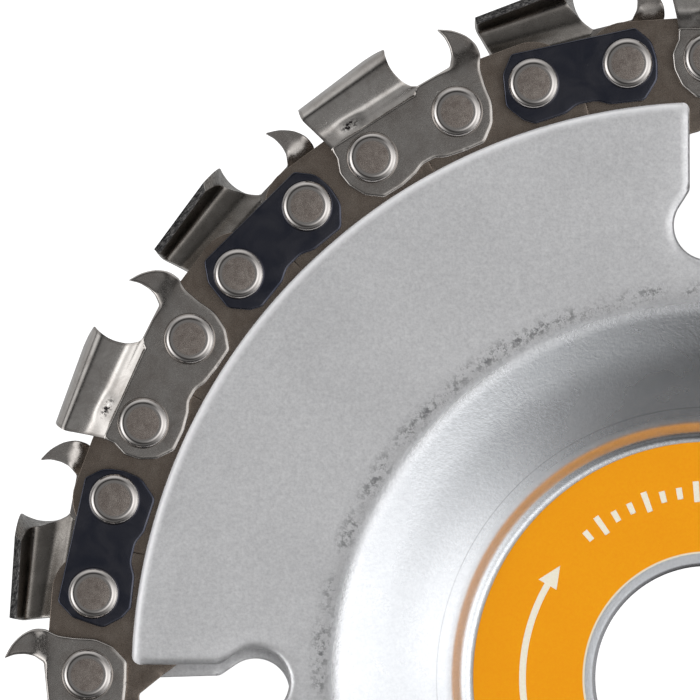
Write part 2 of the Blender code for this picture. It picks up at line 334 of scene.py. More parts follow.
def smooth_curve(controls, count):
    """A Catmull-Rom curve through the controls, at points evenly spaced along it."""
    controls = np.array(controls, float)
    padded = np.concatenate([[2 * controls[0] - controls[1]], controls, [2 * controls[-1] - controls[-2]]])
    dense = []
    for p0, p1, p2, p3 in zip(padded, padded[1:], padded[2:], padded[3:]):
        for t in np.arange(0, 1, CURVE_STEP):
            dense.append(0.5 * (2 * p1 + (p2 - p0) * t + (2 * p0 - 5 * p1 + 4 * p2 - p3) * t ** 2
                                + (3 * p1 - p0 - 3 * p2 + p3) * t ** 3))
    dense = np.array(dense + [controls[-1]])
    travelled = np.concatenate([[0], np.cumsum(np.linalg.norm(np.diff(dense, axis=0), axis=1))])
    stations = np.linspace(0, travelled[-1], count)
    return np.stack([np.interp(stations, travelled, dense[:, axis]) for axis in range(3)], axis=1)


def boolean(mesh, other, operation):
    """The mesh after an exact Boolean with another mesh."""
    base = bpy.data.objects.new("base", mesh)
    tool = bpy.data.objects.new("tool", other)
    for helper in (base, tool):
        bpy.context.scene.collection.objects.link(helper)
    modifier = base.modifiers.new("boolean", "BOOLEAN")
    modifier.operation = operation
    modifier.object = tool
    graph = bpy.context.evaluated_depsgraph_get()
    result = bpy.data.meshes.new_from_object(base.evaluated_get(graph))
    result.name = mesh.name
    for helper in (base, tool):
        bpy.data.objects.remove(helper)
    return result


def flipped(mesh, name):
    """A mirror copy with front and back swapped."""
    copy = mesh.copy()
    copy.name = name
    copy.transform(Matrix.Scale(-1, 4, (0, 0, 1)))
    copy.flip_normals()
    return copy


# ---------------------------------------------------------------- materials

class Nodes:
    """A node tree built by short calls; the coordinates are in millimetres."""

    def __init__(self, tree):
        self.tree = tree

    def add(self, kind, inputs=(), **settings):
        """A node with settings and inputs, given as values or as other nodes' outputs."""
        node = self.tree.nodes.new("ShaderNode" + kind)
        for key, value in settings.items():
            setattr(node, key, value)
        for key, value in dict(inputs).items():
            if isinstance(value, bpy.types.NodeSocket):
                self.tree.links.new(value, node.inputs[key])
            else:
                node.inputs[key].default_value = value
        return node

    def place(self, spread=0.0):
        """Object coordinates in millimetres, shifted by up to the spread for each copy of a piece."""
        where = self.add("TexCoord").outputs["Object"]
        scaled = self.add("VectorMath", {0: where, "Scale": 1 / MM}, operation="SCALE").outputs[0]
        if not spread:
            return scaled
        luck = self.add("ObjectInfo").outputs["Random"]
        shift = self.add("Math", {0: luck, 1: spread}, operation="MULTIPLY").outputs[0]
        return self.add("VectorMath", {0: scaled, 1: shift}, operation="ADD").outputs[0]

    def noise(self, where, size, detail=3.0, rough=0.55, warp=0.0):
        """Noise whose lumps are about the given size."""
        return self.add("TexNoise", {"Vector": where, "Scale": 1 / size, "Detail": detail,
                                     "Roughness": rough, "Distortion": warp}).outputs["Fac"]

    def cells(self, where, size):
        """Distance to the nearest of scattered points the given size apart."""
        cells = self.add("TexVoronoi", {"Vector": where, "Scale": 1 / size}, feature="F1")
        return cells.outputs["Distance"]

    def ramp(self, value, low, high, start=0.0, end=1.0):
        """The value mapped from low..high to start..end, held at both ends."""
        return self.add("MapRange", {"Value": value, "From Min": low, "From Max": high,
                                     "To Min": start, "To Max": end}).outputs["Result"]

    def math(self, operation, first, second=0.0):
        """Two values combined."""
        return self.add("Math", {0: first, 1: second}, operation=operation).outputs[0]

    def total(self, first, *others):
        """The sum of values."""
        for other in others:
            first = self.math("ADD", first, other)
        return first

    def product(self, first, *others):
        """The product of values."""
        for other in others:
            first = self.math("MULTIPLY", first, other)
        return first

    def mix(self, share, first, second):
        """Two colours mixed."""
        def colour(value):
            return value if isinstance(value, bpy.types.NodeSocket) else (*value, 1.0)
        node = self.add("Mix", {0: share, 6: colour(first), 7: colour(second)}, data_type="RGBA")
        return node.outputs[2]

    def scaled(self, where, factors):
        """Coordinates with each axis multiplied by its own factor."""
        return self.add("VectorMath", {0: where, 1: factors}, operation="MULTIPLY").outputs[0]

    def length(self, where):
        """The length of a vector."""
        return self.add("VectorMath", {0: where}, operation="LENGTH").outputs["Value"]

    def radius(self, where):
        """Distance from the Z axis."""
        return self.length(self.scaled(where, (1.0, 1.0, 0.0)))

    def near(self, value, middle, full, none, strength):
        """The strength where the value is within full of the middle, fading to nothing at none."""
        off = self.math("ABSOLUTE", self.math("SUBTRACT", value, middle))
        return self.ramp(off, full, none, strength, 0.0)

    def edge(self):
        """Distance in millimetres from the piece's outline, where its mesh holds that."""
        return self.add("Attribute", attribute_name="edge").outputs["Fac"]


class Shader(Nodes):
    """A node material whose surface is a Principled shader."""

    def __init__(self, name):
        self.material = bpy.data.materials.new(name)
        self.material.use_nodes = True
        super().__init__(self.material.node_tree)
        self.surface = self.tree.nodes["Principled BSDF"]

    def finish(self, colour, roughness, height=None, relief=0.01, metallic=1.0):
        """Connect the surface; relief is the height of the bumps in millimetres."""
        for key, value in (("Metallic", metallic), ("Base Color", colour), ("Roughness", roughness)):
            if isinstance(value, bpy.types.NodeSocket):
                self.tree.links.new(value, self.surface.inputs[key])
            else:
                self.surface.inputs[key].default_value = value
        if height is not None:
            bump = self.add("Bump", {"Height": height, "Distance": relief * MM})
            self.tree.links.new(bump.outputs["Normal"], self.surface.inputs["Normal"])
        return self.material


# Where the plates' finish, painted shade and painted light change, as the radii in millimetres from which
# and to which they do.
BORE_SHADE_END = (BORE_RADIUS + 0.2, BORE_RADIUS + 0.3)
FLOOR_END = (16.95, 17.1)
POWDER_END = (16.9, 17.3)
WALL_FOOT = (17.6, 18.0)
COOL_REFLECTION_END = (26.0, 27.5)
POWDER_START = (26.6, 28.2)
POLISH_END = (26.9, 28.4)
RIM_HIGHLIGHT_START = (40.4, 40.8)
WALL_RADIUS = 18.2
RING_RADIUS = 19.5
SCUFF_RADIUS = 27.9

# How metallic the powdery flats and the rim are, the rim less so to let its painted highlight show; the
# polished dish between them is all metal.
POWDERY = 0.8
RIM_HIGHLIGHT_METAL = 0.35


def zinc_plate():
    """Zinc-plated pressed steel: fine spangle, smudges, a polished dish, scuffs round it and a painted
    highlight along the rolled rim.
    """
    made = Shader("zinc_plate")
    where = made.place()
    radius = made.radius(where)
    grain = made.noise(where, 0.22, detail=4.0, rough=0.7)
    cloud = made.noise(where, 9.0, detail=4.0, rough=0.6, warp=0.6)
    scuff = zinc_scuffs(made, where, radius)
    # Painted highlight: the rolled rim is whitened and made less metallic to stand in for the bright line of
    # light along it.
    rim = made.product(made.ramp(made.edge(), 0.15, 0.7, 1.0, 0.0), made.ramp(radius, *RIM_HIGHLIGHT_START))
    colour = zinc_colour(made, where, radius, grain, cloud, scuff)
    colour = made.mix(made.product(rim, 0.8), colour, (0.98, 0.98, 1.0))
    rough = zinc_roughness(made, radius, cloud)
    metallic = made.math("MINIMUM", made.ramp(radius, *POWDER_START, 1.0, POWDERY),
                         made.ramp(radius, *POWDER_END, POWDERY, 1.0))
    metallic = made.product(metallic, made.ramp(rim, 0.0, 1.0, 1.0, RIM_HIGHLIGHT_METAL))
    height = made.total(grain, made.product(scuff, -0.6))
    return made.finish(colour, rough, height, 0.012, metallic)


def zinc_scuffs(made, where, radius):
    """Broken groups of dark scuffs in a band round the dish."""
    band = made.near(radius, SCUFF_RADIUS, 0.1, 1.0, 1.0)
    patches = made.ramp(made.noise(where, 0.5, detail=6.0, rough=0.75), 0.47, 0.58)
    groups = made.ramp(made.noise(where, 3.5, detail=2.0), 0.36, 0.54, 0.1, 1.0)
    return made.product(band, patches, groups)


def zinc_colour(made, where, radius, grain, cloud, scuff):
    """Mottled zinc with a painted cool reflection in the dish, painted shade at the bore's edge, and dark at
    the scuffs and a scribed ring.
    """
    specks = made.noise(where, 0.5, detail=2.0)
    tone = made.total(made.ramp(grain, 0.3, 0.7, -0.06, 0.06), made.ramp(cloud, 0.3, 0.7, -0.02, 0.02),
                      made.ramp(specks, 0.35, 0.65, -0.02, 0.02))
    colour = made.mix(made.ramp(tone, -0.1, 0.1), (0.66, 0.66, 0.675), (0.97, 0.97, 0.98))
    # Painted reflection: the dish's colour is tinted blue to stand in for the cool light it reflects.
    colour = made.mix(made.ramp(radius, *COOL_REFLECTION_END, 0.5, 0.0), colour, (0.78, 0.82, 0.87))
    colour = made.mix(made.product(scuff, 0.75), colour, (0.12, 0.12, 0.13))
    # Painted shade: near black along the bore's edge break, where the rounded edge falls dark.
    colour = made.mix(made.ramp(radius, *BORE_SHADE_END, 0.8, 0.0), colour, (0.10, 0.095, 0.10))
    return made.mix(made.near(radius, RING_RADIUS, 0.02, 0.06, 0.25), colour, (0.16, 0.16, 0.17))


def zinc_roughness(made, radius, cloud):
    """Polished in the dish, duller on the flats and on the wall of the step, smooth at the edges."""
    return made.total(made.ramp(radius, *FLOOR_END, 0.42, 0.18), made.ramp(radius, *WALL_FOOT, 0.0, 0.08),
                      made.ramp(cloud, 0.3, 0.7, -0.03, 0.05), made.ramp(radius, *POLISH_END, 0.0, 0.24),
                      made.ramp(made.edge(), 0.15, 0.6, -0.18, 0.0),
                      made.near(radius, WALL_RADIUS, 0.4, 0.7, 0.14))


def chain_steel(name, dark, light, base_rough, worn=0.8, stamped=False):
    """Tumbled chain steel: brownish mottling, tiny bright nicks and paler worn edges."""
    made = Shader(name)
    where = made.place(spread=80.0)
    fine = made.noise(where, 0.12, detail=3.0)
    mottle = made.noise(where, 1.6, detail=5.0, rough=0.65, warp=0.4)
    nick = made.ramp(made.cells(where, 1.6), 0.03, 0.05, 1.0, 0.0)
    wear = made.product(made.ramp(made.edge(), 0.0, 0.16, worn, 0.0), made.ramp(mottle, 0.35, 0.6, 0.3, 0.9))
    colour = made.mix(made.ramp(mottle, 0.3, 0.7), dark, light)
    pale = tuple(min(1.0, part * 1.35 + 0.05) for part in light)
    colour = made.mix(made.math("MAXIMUM", made.product(nick, 0.5), wear), colour, pale)
    rough = made.total(made.ramp(fine, 0.3, 0.7, base_rough - 0.05, base_rough + 0.07),
                       made.product(wear, -0.1))
    height = made.total(made.product(fine, 0.3), made.product(nick, -1.0))
    if stamped:
        colour = torn_dent(made, where, colour)
    return made.finish(colour, rough, height, 0.003)


def torn_dent(made, where, colour):
    """Black and bright flecks where the punch tore the skin over the dent."""
    own = made.add("VectorMath", {0: made.place(), 1: (*DENT_AT, 0.0)}, operation="SUBTRACT").outputs[0]
    far = made.length(made.scaled(own, (1 / DENT_SIZE[0], 1 / DENT_SIZE[1], 0.0)))
    near = made.ramp(far, 0.5, 1.1, 1.0, 0.0)
    flecks = made.noise(where, 0.28, detail=4.0, rough=0.7)
    colour = made.mix(made.product(near, made.ramp(flecks, 0.50, 0.44)), colour, (0.02, 0.018, 0.018))
    return made.mix(made.product(near, made.ramp(flecks, 0.60, 0.66)), colour, (0.9, 0.89, 0.87))


def blued_steel():
    """Heat-blued straps: nearly black with a blue cast, tiny nicks, worn grey along the edges."""
    made = Shader("blued_strap")
    where = made.place(spread=60.0)
    cloud = made.noise(where, 2.2, detail=4.0, warp=0.8)
    fine = made.noise(where, 0.1, detail=2.0)
    colour = made.mix(made.ramp(cloud, 0.35, 0.65), (0.058, 0.063, 0.088), (0.10, 0.102, 0.125))
    worn = made.product(made.ramp(made.edge(), 0.0, 0.06, 0.3, 0.0), made.ramp(fine, 0.4, 0.6))
    colour = made.mix(worn, colour, (0.22, 0.222, 0.232))
    nick = made.ramp(made.cells(where, 1.9), 0.025, 0.045, 0.7, 0.0)
    colour = made.mix(nick, colour, (0.5, 0.5, 0.52))
    rough = made.ramp(fine, 0.3, 0.7, 0.16, 0.24)
    return made.finish(colour, rough, fine, 0.002)


def rivet_steel():
    """Spun rivet heads: a polished dome round a duller, browner face with faint rings."""
    made = Shader("rivet_steel")
    where = made.place(spread=50.0)
    face = made.ramp(made.radius(made.place()), RIVET_FACE - 0.12, RIVET_FACE, 1.0, 0.0)
    mottle = made.noise(where, 0.5, detail=5.0, rough=0.7)
    fine = made.noise(where, 0.07, detail=2.0)
    brown = made.mix(made.ramp(mottle, 0.3, 0.7), (0.36, 0.30, 0.27), (0.60, 0.53, 0.48))
    colour = made.mix(face, (0.58, 0.55, 0.53), brown)
    rough = made.total(made.ramp(face, 0.0, 1.0, 0.11, 0.26), made.ramp(fine, 0.3, 0.7, -0.03, 0.05))
    return made.finish(colour, rough, made.product(fine, face), 0.005)


def filed_steel():
    """The ground cutting edges: bright, with fine file lines."""
    made = Shader("filed_edge")
    where = made.place(spread=30.0)
    lines = made.noise(made.scaled(where, (3.0, 3.0, 22.0)), 1.0, detail=2.0, rough=0.5)
    colour = made.mix(made.ramp(lines, 0.35, 0.65), (0.38, 0.37, 0.36), (0.62, 0.61, 0.59))
    return made.finish(colour, made.ramp(lines, 0.3, 0.7, 0.22, 0.38), lines, 0.006)


def sheared_steel():
    """The torn grey edge that punching leaves on the tooth's top."""
    made = Shader("sheared_edge")
    where = made.place(spread=30.0)
    torn = made.noise(made.scaled(where, (1.0, 3.0, 3.0)), 0.35, detail=6.0, rough=0.8, warp=0.5)
    colour = made.mix(made.ramp(torn, 0.45, 0.66), (0.035, 0.034, 0.036), (0.34, 0.33, 0.32))
    return made.finish(colour, made.ramp(torn, 0.3, 0.7, 0.45, 0.25), torn, 0.03)


def label_print():
    """Orange print on a thin satin label, cream where the paper shows at its edges."""
    made = Shader("label_print")
    where = made.place()
    grain = made.noise(where, 0.18, detail=3.0, rough=0.7)
    cloud = made.noise(where, 4.0, detail=3.0)
    orange = made.mix(made.ramp(grain, 0.3, 0.7), (0.98, 0.35, 0.002), (1.0, 0.41, 0.004))
    orange = made.mix(made.ramp(cloud, 0.3, 0.7, 0.0, 0.25), orange, (0.94, 0.32, 0.002))
    paper = made.ramp(made.radius(where), LABEL_INNER + 0.10, LABEL_INNER + 0.16, 1.0, 0.0)
    colour = made.mix(paper, orange, (0.90, 0.82, 0.62))
    made.surface.inputs["Specular IOR Level"].default_value = 0.25
    return made.finish(colour, made.ramp(grain, 0.3, 0.7, 0.42, 0.55), grain, 0.004, metallic=0.0)


def label_ink():
    """Off-white printed marks."""
    made = Shader("label_ink")
    grain = made.noise(made.place(), 0.15, detail=2.0)
    colour = made.mix(made.ramp(grain, 0.3, 0.7), (0.95, 0.88, 0.70), (1.0, 0.95, 0.80))
    return made.finish(colour, made.ramp(grain, 0.3, 0.7, 0.45, 0.55), grain, 0.003, metallic=0.0)


# ---------------------------------------------------------------- pieces

def put(name, mesh, materials, body, replaced, matrix=None):
    """Show a piece: its mesh and materials, the body it rides on and the CAD nodes it stands for."""
    if not mesh.materials:
        for material in materials:
            mesh.materials.append(material)
    piece = bpy.data.objects.new(name, mesh)
    bpy.context.scene.collection.objects.link(piece)
    if matrix:
        piece.matrix_world = matrix
    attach(piece, body)
    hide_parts(*replaced)
    return piece


MOUTH_ROUND = 0.65
NECK_ROUND = 0.8
NECK_ANGLE = 58
HOLE_STEP = 8
RIM_STEP = 0.9


def keyhole_corners(lip):
    """One slot along X, from its mouth in to the round hole and out again."""
    slot = [(lip, -SLOT_HALF_WIDTH, MOUTH_ROUND), (SLOT_NECK, -SLOT_HALF_WIDTH, NECK_ROUND)]
    for angle in range(-NECK_ANGLE, NECK_ANGLE - 361, -HOLE_STEP):
        x, y = spot(SLOT_HOLE_RADIUS, angle)
        slot.append((SLOT_HOLE_CENTRE + x, y, 0))
    return slot + [(SLOT_NECK, SLOT_HALF_WIDTH, NECK_ROUND), (lip, SLOT_HALF_WIDTH, MOUTH_ROUND)]


def plate_loops(turn):
    """A plate's outline with its keyhole slots, and its bore."""
    corners = []
    mouth = math.degrees(math.asin(SLOT_HALF_WIDTH / PLATE_RADIUS))
    slot = keyhole_corners(PLATE_RADIUS * math.cos(math.radians(mouth)))
    for quarter in range(4):
        start = turn + quarter * 90.0
        right, up = np.array(spot(1.0, start)), np.array(spot(1.0, start + 90.0))
        corners += [(*(right * x + up * y), radius) for x, y, radius in slot]
        around = np.arange(mouth + 1.5, 90.0 - mouth - 1.4, RIM_STEP)
        corners += [(*spot(PLATE_RADIUS, start + angle), 0) for angle in around]
    return [rounded(corners), circle(BORE_RADIUS, count=120, clockwise=True)]


def height_along(profile):
    """A function that gives the height of a turned surface at points, from its rounded profile."""
    line = rounded(profile, closed=False, step=3.0)
    return lambda points: np.interp(np.linalg.norm(points, axis=1), line[:, 0], line[:, 1])


# Rings of mesh points as (from, to, spacing), close together where the plates bend.
MESH_RINGS = [(8.9, 16.6, 1.1), (16.8, 19.6, 0.11), (20.0, 25.8, 0.6), (26.0, 27.8, 0.16), (28.8, 41.0, 1.3)]
MESH_SPOKES = 200
PLATE_SPACING = 0.45
NEAR_BORE = 12.0
BORE_ROLL_SHARE = 0.22
FAR_OUT = 60.0


def make_plates(zinc):
    """Both pressed plates."""
    under = PLATE_THICKNESS
    front_top = height_along([
        (0, FLOOR_TOP, 0), (17.6, FLOOR_TOP, 1.2), (18.4, FLOOR_TOP + 1.35, 0.9),
        (22.3, FLOOR_TOP + 3.6, 22.0), (26.75, RIM_TOP, 5.0), (FAR_OUT, RIM_TOP, 0)])
    front_bottom = height_along([
        (0, FRONT_LOW, 0), (18.5, FRONT_LOW, 2.0), (19.3, FLOOR_TOP, 1.2),
        (22.7, FLOOR_TOP + 2.1, 20.0), (27.1, RIM_TOP - under, 3.8), (FAR_OUT, RIM_TOP - under, 0)])
    back_top = height_along([
        (0, under, 0), (18.5, under, 2.0), (27.2, BACK_RIM_TOP, 4.5), (FAR_OUT, BACK_RIM_TOP, 0)])
    back_bottom = height_along([
        (0, 0, 0), (19.0, 0, 2.5), (27.7, BACK_RIM_TOP - under, 5.0), (FAR_OUT, BACK_RIM_TOP - under, 0)])
    radii = np.concatenate([np.arange(*stretch) for stretch in MESH_RINGS])
    grid = polar_points(radii, MESH_SPOKES)

    def roll_share(points):
        return np.where(np.linalg.norm(points, axis=1) < NEAR_BORE, BORE_ROLL_SHARE, 1.0)

    for node, body, turn, top, bottom, rolls in (
            ("front_plate", FRONT, FRONT_PLATE_TURN, front_top, front_bottom, (PLATE_ROLL, PLATE_BURR)),
            ("back_plate", BACK, BACK_PLATE_TURN, back_top, back_bottom, (PLATE_BURR, PLATE_ROLL))):
        name = node + "_pressed"
        mesh = sheet(name, plate_loops(turn), top, bottom, *rolls, PLATE_SPACING, grid, roll_share)
        put(name, mesh, [zinc], body, [node])


MARK_RADIUS = 13.45
ARROW_HALF = 0.24
ARROW_HEAD = 0.75
ARROW_TAIL, ARROW_NECK, ARROW_TIP = 204.0, 150.0, 143.0
ARROW_POINTS = 28
TICKS = 8
TICK_START = 94.0
TICK_STEP = 5.2
TICK_HALF_ANGLE = 0.9
LONG_TICK = 0.75
SHORT_TICK = 0.42
LABEL_GAP = 0.01
INK_GAP = 0.004
INK_THICKNESS = 0.022
INK_ROLLS = ((0.01, 0.004), (0.005, 0.002))
INK_SPACING = 0.25


def make_label():
    """The printed ring on the floor of the front dish, with plain marks round it."""
    top = FLOOR_TOP + LABEL_THICKNESS
    bottom = FLOOR_TOP + LABEL_GAP
    outer = LABEL_RADIUS + LABEL_SPREAD
    ring = turned("label", [(LABEL_INNER, top), (outer, top), (outer, bottom), (LABEL_INNER, bottom)], 160)
    shift = Matrix.Translation((LABEL_SHIFT * MM, 0, 0))
    put("label", ring, [label_print()], FRONT, ["label_ring"], shift)
    ink = label_ink()
    for half in (0, 1):
        for name, outline in (("arrow", arrow_outline(half * 180.0)), *tick_outlines(half * 180.0)):
            mark = sheet(f"{name}_{half}", [outline], top + INK_THICKNESS, top + INK_GAP,
                         *INK_ROLLS, INK_SPACING, np.array([(0.0, 0.0)]))
            put(f"label_{name}_{half}", mark, [ink], FRONT, ["label_ring"], shift)


def arrow_outline(turn):
    """A curved arrow that shows which way the disc spins."""
    tail, neck, tip = turn + ARROW_TAIL, turn + ARROW_NECK, turn + ARROW_TIP
    outer = [spot(MARK_RADIUS + ARROW_HALF, angle) for angle in np.linspace(neck, tail, ARROW_POINTS)]
    inner = [spot(MARK_RADIUS - ARROW_HALF, angle) for angle in np.linspace(tail, neck, ARROW_POINTS)]
    inner_barb = spot(MARK_RADIUS - ARROW_HEAD, neck)
    outer_barb = spot(MARK_RADIUS + ARROW_HEAD, neck)
    return np.array([*outer, *inner, inner_barb, spot(MARK_RADIUS, tip), outer_barb])


def tick_outlines(turn):
    """Plain bars round the label, every third one longer."""
    bars = []
    for index in range(TICKS):
        angle = turn + TICK_START + TICK_STEP * index
        first, last = angle - TICK_HALF_ANGLE, angle + TICK_HALF_ANGLE
        reach = LONG_TICK if index % 3 == 0 else SHORT_TICK
        low, high = MARK_RADIUS - reach, MARK_RADIUS + reach
        corners = [(low, first), (high, first), (high, last), (low, last)]
        bars.append((f"tick_{index}", np.array([spot(*corner) for corner in corners])))
    return bars


# How the links' edges roll over, as (width, height).
LINK_ROLL = (0.27, 0.12)
STRAP_ROLL = (0.16, 0.09)
FINE_ROLL = (0.07, 0.05)
LINK_SPACING = 0.2
LINK_GRID = 0.7
RIVET_HOLE = 1.5
RIVET_HOLE_POINTS = 40

# Outlines as (forward, outward, rounding) corners.
STRAP_CORNERS = [
    (-3.9, -2.85, 0.5), (-1.6, -2.6, 1.2), (-0.7, -2.15, 1.2), (0.7, -2.15, 1.2), (1.6, -2.6, 1.2),
    (4.1, -2.85, 0.6), (5.3, -1.6, 1.2), (5.6, -0.2, 2.5), (5.45, 1.2, 1.5), (4.5, 2.38, 0.4),
    (-4.55, 2.38, 0.4), (-5.45, 1.1, 1.0), (-5.7, -1.2, 0.7), (-4.7, -2.4, 0.8),
]

CUTTER_CORNERS = [
    (-4.05, -2.9, 0.5), (-2.5, -2.82, 1.0), (-1.2, -2.5, 1.2), (-0.5, -2.15, 1.0), (0.5, -2.15, 1.0),
    (1.2, -2.5, 1.2), (2.6, -2.75, 1.0), (4.15, -2.88, 0.5), (5.3, -1.95, 1.2), (5.95, -0.7, 2.0),
    (6.1, 0.7, 2.5), (6.35, 1.9, 1.5), (6.85, 2.8, 0.9), (6.95, 3.6, 2.0), (6.6, 4.5, 2.0),
    (5.9, 5.3, 2.5), (4.97, 5.86, 0.04), (5.2, 5.1, 1.5), (5.18, 4.3, 1.5), (5.0, 3.7, 0.8),
    (4.5, 3.05, 0.3), (1.6, 2.95, 0.3), (1.3, 2.5, 0.2), (-5.75, 2.0, 0.2), (-5.7, 1.1, 0.5),
    (-6.05, 0.1, 0.6), (-5.85, -1.0, 1.2), (-5.2, -2.1, 1.0),
]

# The depth gauge leans in between these heights, from this far forward.
FIN_BEND_START = 2.4
FIN_BEND_END = 3.95
FIN_LEAN = 0.42
FIN_FROM = 3.4
FIN_BLEND = 0.9

# The tooth's skin as (forward, outward, sideways) points up its side and over its top.
TOOTH_REAR_OUTER = [
    (-5.70, 1.72, 1.60), (-5.76, 2.02, 1.84), (-5.86, 2.35, 2.06), (-5.98, 2.75, 2.25), (-6.12, 3.2, 2.39),
    (-6.35, 3.9, 2.45), (-6.55, 4.5, 2.44), (-6.60, 4.85, 2.34), (-6.58, 5.12, 2.08), (-6.55, 5.30, 1.7),
    (-6.52, 5.42, 1.1), (-6.50, 5.50, 0.4), (-6.50, 5.53, -0.3)]
TOOTH_REAR_INNER = [
    (-5.70, 1.72, 0.85), (-5.76, 2.2, 0.88), (-5.84, 2.7, 1.12), (-6.00, 3.2, 1.45), (-6.12, 3.6, 1.58),
    (-6.30, 4.1, 1.62), (-6.45, 4.45, 1.55), (-6.50, 4.63, 1.36), (-6.50, 4.74, 1.0), (-6.50, 4.84, 0.6),
    (-6.50, 4.92, 0.2), (-6.50, 4.97, -0.1), (-6.50, 5.0, -0.3)]
TOOTH_FRONT_OUTER = [
    (2.25, 2.22, 1.50), (2.15, 2.62, 1.70), (1.85, 2.93, 1.88), (1.42, 3.15, 2.16), (1.06, 3.62, 2.39),
    (0.80, 4.4, 2.45), (0.72, 5.1, 2.44), (0.78, 5.65, 2.34), (0.87, 6.08, 2.08), (0.96, 6.34, 1.7),
    (0.80, 6.44, 1.1), (0.20, 6.48, 0.4), (-0.65, 6.44, -0.3)]
TOOTH_FRONT_INNER = [
    (2.15, 2.22, 0.85), (2.0, 2.70, 0.88), (1.55, 3.05, 1.12), (1.02, 3.7, 1.45), (0.70, 4.25, 1.58),
    (0.35, 4.85, 1.62), (0.20, 5.2, 1.55), (0.12, 5.43, 1.36), (0.0, 5.58, 1.0), (-0.3, 5.72, 0.6),
    (-0.62, 5.80, 0.2), (-0.85, 5.85, -0.1), (-0.95, 5.88, -0.3)]
TOOTH_ROWS = 34
TOOTH_COLUMNS = 30
DENT_AT = (-3.7, 2.75)
DENT_SIZE = (0.9, 0.38)
DENT_DEPTH = 0.13
TOOTH_BEVEL = 0.05
TOOTH_SHARP = 40.0

# The places of a cutter's finishes in its list of materials; the inner face's finish is a painted-shade copy
# of the skin's.
SKIN, FILED, SHEARED, SHADED_INSIDE = range(4)
FINISHES = 4


def fin_shift(points):
    """How far the depth gauge leans in towards the middle of the chain."""
    share = np.clip((points[:, 1] - FIN_BEND_START) / (FIN_BEND_END - FIN_BEND_START), 0, 1)
    return FIN_LEAN * share ** 2 * (3 - 2 * share) * np.clip((points[:, 0] - FIN_FROM) / FIN_BLEND, 0, 1)


def tooth_mesh():
    """The flared side and bent-over top of a cutter, with filed and sheared edges."""
    columns = np.linspace(0, 1, TOOTH_COLUMNS)
    skins = []
    for rear, front in ((TOOTH_REAR_OUTER, TOOTH_FRONT_OUTER), (TOOTH_REAR_INNER, TOOTH_FRONT_INNER)):
        rear, front = smooth_curve(rear, TOOTH_ROWS), smooth_curve(front, TOOTH_ROWS)
        skins.append(rear[:, None] * (1 - columns[None, :, None]) + front[:, None] * columns[None, :, None])
    across, up = skins[0][..., 0] - DENT_AT[0], skins[0][..., 1] - DENT_AT[1]
    skins[0][..., 2] -= DENT_DEPTH * np.exp(-(across / DENT_SIZE[0]) ** 4 - (up / DENT_SIZE[1]) ** 2)
    count = TOOTH_ROWS * TOOTH_COLUMNS
    points = np.concatenate([skin.reshape(-1, 3) for skin in skins])

    def at(skin, row, column):
        return skin * count + row * TOOTH_COLUMNS + column

    faces, kinds = [], []
    last_row, last_column = TOOTH_ROWS - 1, TOOTH_COLUMNS - 1
    for row in range(last_row):
        for column in range(last_column):
            faces.append([at(0, row, column), at(0, row, column + 1), at(0, row + 1, column + 1),
                          at(0, row + 1, column)])
            faces.append([at(1, row, column), at(1, row + 1, column), at(1, row + 1, column + 1),
                          at(1, row, column + 1)])
            kinds += [SKIN, SHADED_INSIDE]
        for column, kind in ((0, SKIN), (last_column, FILED)):
            faces.append([at(0, row, column), at(0, row + 1, column),
                          at(1, row + 1, column), at(1, row, column)])
            kinds.append(kind)
    for column in range(last_column):
        for row, kind in ((0, SKIN), (last_row, SHEARED)):
            faces.append([at(0, row, column), at(1, row, column),
                          at(1, row, column + 1), at(0, row, column + 1)])
            kinds.append(kind)
    mesh = new_mesh("tooth", points, faces)
    mesh.polygons.foreach_set("material_index", kinds)
    for _ in range(FINISHES):
        mesh.materials.append(None)
    bm = bmesh.new()
    bm.from_mesh(mesh)
    steep = math.radians(TOOTH_SHARP)
    sharp = [edge for edge in bm.edges if edge.is_manifold and edge.calc_face_angle() > steep]
    bmesh.ops.bevel(bm, geom=sharp, offset=TOOTH_BEVEL * MM, segments=2, affect="EDGES", profile=0.6,
                    material=-1)
    bmesh.ops.recalc_face_normals(bm, faces=bm.faces)
    bm.to_mesh(mesh)
    bm.free()
    return mesh


def link_sheet(name, corners, half_pitch, inner, outer, rolls, shift=None):
    """A flat link with two rivet holes, its surfaces shifted sideways where shift says so."""
    outline = rounded(corners)
    centres = [(-half_pitch, 0.0), (half_pitch, 0.0)]
    holes = [circle(RIVET_HOLE, centre, RIVET_HOLE_POINTS, clockwise=True) for centre in centres]
    top = (lambda points: outer - shift(points)) if shift else outer
    bottom = (lambda points: inner - shift(points)) if shift else inner
    grid = grid_points(outline, LINK_GRID)
    return sheet(name, [outline, *holes], top, bottom, *rolls, LINK_SPACING, grid)


def cutter_mesh():
    """A right-hand cutter with its base, depth gauge and tooth in one."""
    base = link_sheet("cutter", CUTTER_CORNERS, SIDE_PITCH / 2, SIDE_LINK_INSIDE, LINK_OUTER,
                      (LINK_ROLL, FINE_ROLL), shift=fin_shift)
    for _ in range(FINISHES):
        base.materials.append(None)
    joined = boolean(base, tooth_mesh(), "UNION")
    joined.shade_smooth()
    joined.set_sharp_from_angle(angle=math.radians(SHARP_ANGLE))
    return joined


DRIVE_END = 3.02
SHOULDER_LOW = -4.0
SHOULDER_HIGH = -2.0
SHOULDER_GAP = 0.015


def shoulder(height):
    """How far a drive link's shoulder reaches towards the next drive link's."""
    return (RIVET_CIRCLE + height) * math.tan(math.radians(STEP_ANGLE / 2)) - SHOULDER_GAP


